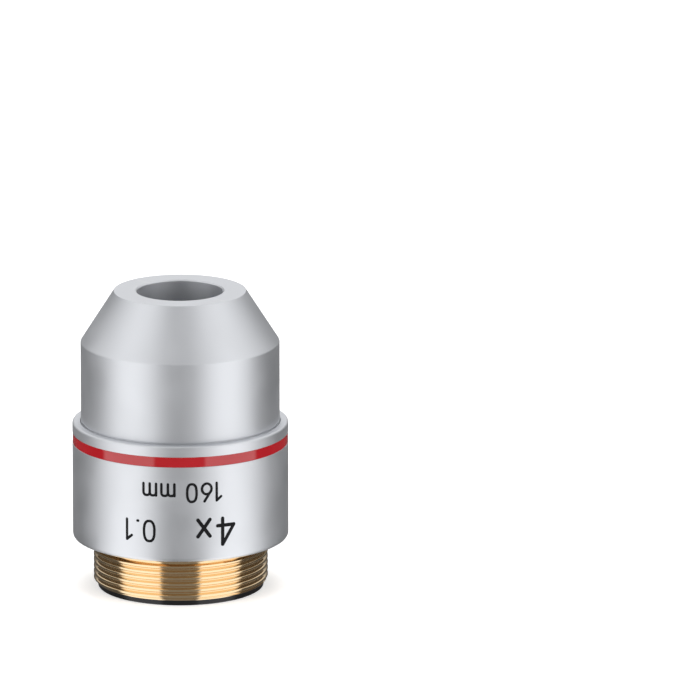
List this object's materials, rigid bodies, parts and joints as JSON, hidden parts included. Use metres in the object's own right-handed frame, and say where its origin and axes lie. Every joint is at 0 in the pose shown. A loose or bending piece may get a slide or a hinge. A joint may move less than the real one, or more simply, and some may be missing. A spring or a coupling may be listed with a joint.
{
  "type": "microscope objective",
  "caption": "Low-power plan achromat microscope objective: a satin silver nose and sleeve with a red colour band over a brass mounting thread, with its cells, lenses and lock rings inside.",
  "frame": {"origin": "on the optical axis, in the plane of the mounting shoulder, from which the parfocal distance of 45 mm is measured", "axes": "+Z along the optical axis, towards the specimen; the figures on the sleeve face -Y"},
  "size_m": [0.0252, 0.0252, 0.0353],
  "materials": {
    "satin_chrome": "satin chrome plate over turned brass",
    "turned_brass": "bright turned brass, lacquered",
    "blackened_brass": "chemically blackened, matt",
    "black_anodised": "matt black anodised",
    "black_steel": "black oxide",
    "red_enamel": "gloss enamel filled in a turned groove",
    "figure_paint": "black enamel filled in the cut figures",
    "lens_glass": "polished, single-layer coated"
  },
  "bodies": {
    "root": {"threaded_mount": "turned_brass", "outer_sleeve": "satin_chrome", "colour_band": "red_enamel", "nose_cap": "satin_chrome", "lens_barrel": "blackened_brass", "parfocal_lock_nut": "turned_brass", "barrel_grub_screws": "black_steel", "rear_stop_ring": "blackened_brass", "front_cell": "black_anodised", "front_crown_lens": "lens_glass", "front_flint_lens": "lens_glass", "front_retainer": "black_anodised", "front_spacer": "black_anodised", "air_gap_shim": "turned_brass", "middle_cell": "black_anodised", "middle_lens": "lens_glass", "middle_retainer": "black_anodised", "aperture_stop": "black_anodised", "rear_spacer": "black_anodised", "rear_cell": "black_anodised", "rear_flint_lens": "lens_glass", "rear_crown_lens": "lens_glass", "rear_retainer": "black_anodised", "stack_lock_ring": "black_anodised"}
  },
  "joints": []
}
